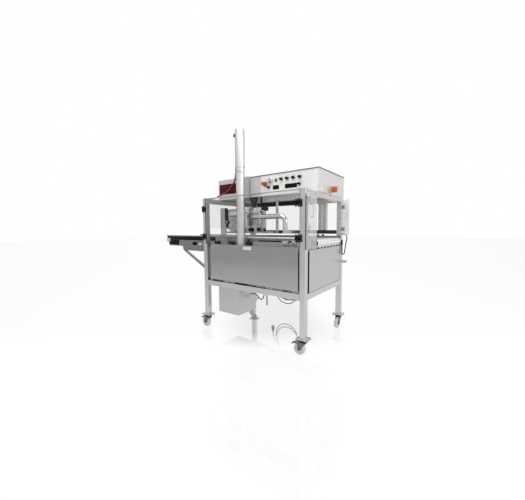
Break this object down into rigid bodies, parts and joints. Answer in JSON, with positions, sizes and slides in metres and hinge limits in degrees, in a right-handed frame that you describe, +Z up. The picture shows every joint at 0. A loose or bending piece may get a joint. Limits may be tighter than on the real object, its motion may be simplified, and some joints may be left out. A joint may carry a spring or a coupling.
{
  "type": "enrobing machine",
  "caption": "Chocolate enrober on casters: a wire belt through a glazed cabinet, curtain hopper, screw pump column, blower, discharge belt and top control box.",
  "frame": {"origin": "on the floor, under the middle of the whole machine with its infeed reach and open end door", "axes": "+X from infeed to discharge, +Y from the control front to the back, +Z up"},
  "size_m": [2.2266, 0.9488, 1.979],
  "materials": {
    "stainless": "satin",
    "polished": "polished",
    "grey_lid": "satin",
    "zinc": "satin",
    "pale_wheel": "matte",
    "motor_grey": "satin",
    "acrylic": "clear",
    "black_plastic": "matte",
    "white_plastic": "matte",
    "red_plastic": "gloss",
    "rocker_plastic": "gloss",
    "cord_black": "matte"
  },
  "bodies": {
    "machine": {"air_duct": "stainless", "blower": "stainless", "caster_plates": "zinc", "ceiling_plate": "stainless", "control_box": "stainless", "control_box_lid": "grey_lid", "conveyor_sides": "stainless", "curtain_hopper": "stainless", "door_hinge_mounts": "black_plastic", "drive_box": "stainless", "drive_motors": "motor_grey", "front_panel": "polished", "guard_panels": "acrylic", "head_supports": "stainless", "hoses_and_cables": "cord_black", "lower_side_panels": "stainless", "mains_cord_coil": "cord_black", "mains_cord_tail": "cord_black", "mains_plug": "black_plastic", "panel_fittings": "black_plastic", "pump_cover": "stainless", "pump_tube": "stainless", "shaft_bearings": "black_plastic", "sign_box": "stainless", "takeoff_belt": "white_plastic", "tank": "stainless", "welded_frame": "stainless", "wire_belt": "stainless"},
    "caster_fork_front_left": {"caster_fork_front_left": "zinc"},
    "caster_wheel_front_left": {"caster_wheel_front_left": "pale_wheel"},
    "caster_brake_front_left": {"caster_brake_front_left": "black_plastic"},
    "caster_fork_front_right": {"caster_fork_front_right": "zinc"},
    "caster_wheel_front_right": {"caster_wheel_front_right": "pale_wheel"},
    "caster_brake_front_right": {"caster_brake_front_right": "black_plastic"},
    "caster_fork_back_left": {"caster_fork_back_left": "zinc"},
    "caster_wheel_back_left": {"caster_wheel_back_left": "pale_wheel"},
    "caster_fork_back_right": {"caster_fork_back_right": "zinc"},
    "caster_wheel_back_right": {"caster_wheel_back_right": "pale_wheel"},
    "front_door_left": {"front_door_left": "acrylic"},
    "front_door_right": {"front_door_right": "acrylic"},
    "end_door_near": {"end_door_near": "acrylic"},
    "end_door_far": {"end_door_far": "acrylic"},
    "emergency_stop": {"emergency_stop": "red_plastic"},
    "start_stop_rocker": {"start_stop_rocker": "rocker_plastic"},
    "upper_knob_1": {"upper_knob_1": "black_plastic"},
    "upper_knob_2": {"upper_knob_2": "black_plastic"},
    "upper_knob_3": {"upper_knob_3": "black_plastic"},
    "upper_knob_4": {"upper_knob_4": "black_plastic"},
    "lower_knob_1": {"lower_knob_1": "black_plastic"},
    "lower_knob_2": {"lower_knob_2": "black_plastic"},
    "isolator_switch": {"isolator_switch": "red_plastic"},
    "infeed_knob": {"infeed_knob": "black_plastic"},
    "clamp_knob_1": {"clamp_knob_1": "black_plastic"},
    "clamp_knob_2": {"clamp_knob_2": "black_plastic"},
    "infeed_nose_roller": {"infeed_nose_roller": "white_plastic"},
    "wire_belt_drive_roller": {"wire_belt_drive_roller": "white_plastic"},
    "detailing_rod": {"detailing_rod": "stainless"},
    "takeoff_drive_roller": {"takeoff_drive_roller": "white_plastic"},
    "takeoff_nose_roller": {"takeoff_nose_roller": "white_plastic"},
    "pump_auger": {"pump_auger": "stainless"}
  },
  "joints": [
    {"name": "swivel_front_left", "type": "hinge", "parent": "machine", "child": "caster_fork_front_left", "pos_m": [-0.14831, -0.3925, 0.11], "axis": [0, 0, 1], "continuous": true},
    {"name": "wheel_spin_front_left", "type": "hinge", "parent": "caster_fork_front_left", "child": "caster_wheel_front_left", "pos_m": [-0.18031, -0.3925, 0.05], "axis": [0, 1, 0], "continuous": true},
    {"name": "brake_front_left", "type": "hinge", "parent": "caster_fork_front_left", "child": "caster_brake_front_left", "pos_m": [-0.21031, -0.3925, 0.1017], "axis": [0, -1, 0], "range_deg": [0, 24]},
    {"name": "swivel_front_right", "type": "hinge", "parent": "machine", "child": "caster_fork_front_right", "pos_m": [0.97169, -0.3925, 0.11], "axis": [0, 0, 1], "continuous": true},
    {"name": "wheel_spin_front_right", "type": "hinge", "parent": "caster_fork_front_right", "child": "caster_wheel_front_right", "pos_m": [0.93969, -0.3925, 0.05], "axis": [0, 1, 0], "continuous": true},
    {"name": "brake_front_right", "type": "hinge", "parent": "caster_fork_front_right", "child": "caster_brake_front_right", "pos_m": [0.90969, -0.3925, 0.1017], "axis": [0, -1, 0], "range_deg": [0, 24]},
    {"name": "swivel_back_left", "type": "hinge", "parent": "machine", "child": "caster_fork_back_left", "pos_m": [-0.14831, 0.3895, 0.11], "axis": [0, 0, 1], "continuous": true},
    {"name": "wheel_spin_back_left", "type": "hinge", "parent": "caster_fork_back_left", "child": "caster_wheel_back_left", "pos_m": [-0.18031, 0.3895, 0.05], "axis": [0, 1, 0], "continuous": true},
    {"name": "swivel_back_right", "type": "hinge", "parent": "machine", "child": "caster_fork_back_right", "pos_m": [0.97169, 0.3895, 0.11], "axis": [0, 0, 1], "continuous": true},
    {"name": "wheel_spin_back_right", "type": "hinge", "parent": "caster_fork_back_right", "child": "caster_wheel_back_right", "pos_m": [0.97169, 0.3575, 0.05], "axis": [-1, 0, 0], "continuous": true},
    {"name": "front_door_left_hinge", "type": "hinge", "parent": "machine", "child": "front_door_left", "pos_m": [-0.14831, -0.4315, 1.0935], "axis": [0, 0, -1], "range_deg": [0, 110]},
    {"name": "front_door_right_hinge", "type": "hinge", "parent": "machine", "child": "front_door_right", "pos_m": [0.94269, -0.4315, 1.0935], "axis": [0, 0, 1], "range_deg": [0, 110]},
    {"name": "end_door_near_hinge", "type": "hinge", "parent": "machine", "child": "end_door_near", "pos_m": [1.01069, -0.3925, 1.1645], "axis": [0, 0, -1], "range_deg": [0, 100]},
    {"name": "end_door_far_hinge", "type": "hinge", "parent": "machine", "child": "end_door_far", "pos_m": [1.01069, 0.3895, 1.1335], "axis": [0, 0, 1], "range_deg": [-40, 60]},
    {"name": "emergency_stop_press", "type": "slide", "parent": "machine", "child": "emergency_stop", "axis": [0, 1, 0], "range_m": [0, 0.005], "stiffness_N_per_m": 600},
    {"name": "start_stop_rock", "type": "hinge", "parent": "machine", "child": "start_stop_rocker", "pos_m": [0.51069, -0.1915, 1.476], "axis": [1, 0, 0], "range_deg": [-6, 6]},
    {"name": "upper_knob_1_turn", "type": "hinge", "parent": "machine", "child": "upper_knob_1", "pos_m": [0.63269, -0.1835, 1.48], "axis": [0, 1, 0], "range_deg": [-135, 135]},
    {"name": "upper_knob_2_turn", "type": "hinge", "parent": "machine", "child": "upper_knob_2", "pos_m": [0.69369, -0.1835, 1.48], "axis": [0, 1, 0], "range_deg": [-135, 135]},
    {"name": "upper_knob_3_turn", "type": "hinge", "parent": "machine", "child": "upper_knob_3", "pos_m": [0.75669, -0.1835, 1.48], "axis": [0, 1, 0], "range_deg": [-135, 135]},
    {"name": "upper_knob_4_turn", "type": "hinge", "parent": "machine", "child": "upper_knob_4", "pos_m": [0.82169, -0.1835, 1.48], "axis": [0, 1, 0], "range_deg": [-135, 135]},
    {"name": "lower_knob_1_turn", "type": "hinge", "parent": "machine", "child": "lower_knob_1", "pos_m": [0.49369, -0.1835, 1.419], "axis": [0, 1, 0], "range_deg": [-135, 135]},
    {"name": "lower_knob_2_turn", "type": "hinge", "parent": "machine", "child": "lower_knob_2", "pos_m": [0.81669, -0.1835, 1.419], "axis": [0, 1, 0], "range_deg": [-135, 135]},
    {"name": "isolator_turn", "type": "hinge", "parent": "machine", "child": "isolator_switch", "pos_m": [0.99669, 0.0665, 1.38], "axis": [1, 0, 0], "range_deg": [0, 90]},
    {"name": "infeed_knob_turn", "type": "hinge", "parent": "machine", "child": "infeed_knob", "pos_m": [-0.56131, -0.2125, 0.861], "axis": [0, 1, 0], "continuous": true},
    {"name": "clamp_knob_1_turn", "type": "hinge", "parent": "machine", "child": "clamp_knob_1", "pos_m": [0.28069, -0.1905, 1.022], "axis": [0, 1, 0], "continuous": true},
    {"name": "clamp_knob_2_turn", "type": "hinge", "parent": "machine", "child": "clamp_knob_2", "pos_m": [0.38869, -0.1905, 1.022], "axis": [0, 1, 0], "continuous": true},
    {"name": "infeed_nose_roller_spin", "type": "hinge", "parent": "machine", "child": "infeed_nose_roller", "pos_m": [-1.05831, -0.2125, 0.896], "axis": [0, 1, 0], "continuous": true},
    {"name": "wire_belt_drive_roller_spin", "type": "hinge", "parent": "machine", "child": "wire_belt_drive_roller", "pos_m": [0.69669, -0.2125, 0.896], "axis": [0, 1, 0], "continuous": true},
    {"name": "detailing_rod_spin", "type": "hinge", "parent": "machine", "child": "detailing_rod", "pos_m": [0.74819, -0.2125, 0.928], "axis": [0, 1, 0], "continuous": true},
    {"name": "takeoff_drive_roller_spin", "type": "hinge", "parent": "machine", "child": "takeoff_drive_roller", "pos_m": [0.78669, -0.2125, 0.904], "axis": [0, 1, 0], "continuous": true},
    {"name": "takeoff_nose_roller_spin", "type": "hinge", "parent": "machine", "child": "takeoff_nose_roller", "pos_m": [0.97369, -0.2125, 0.904], "axis": [0, 1, 0], "continuous": true},
    {"name": "pump_auger_spin", "type": "hinge", "parent": "machine", "child": "pump_auger", "pos_m": [0.22669, -0.2875, 0.514], "axis": [0, 0, 1], "continuous": true}
  ],
  "couplings": [
    {"joint": "infeed_nose_roller_spin", "follows": "wire_belt_drive_roller_spin", "ratio": 1},
    {"joint": "takeoff_nose_roller_spin", "follows": "takeoff_drive_roller_spin", "ratio": 1}
  ]
}
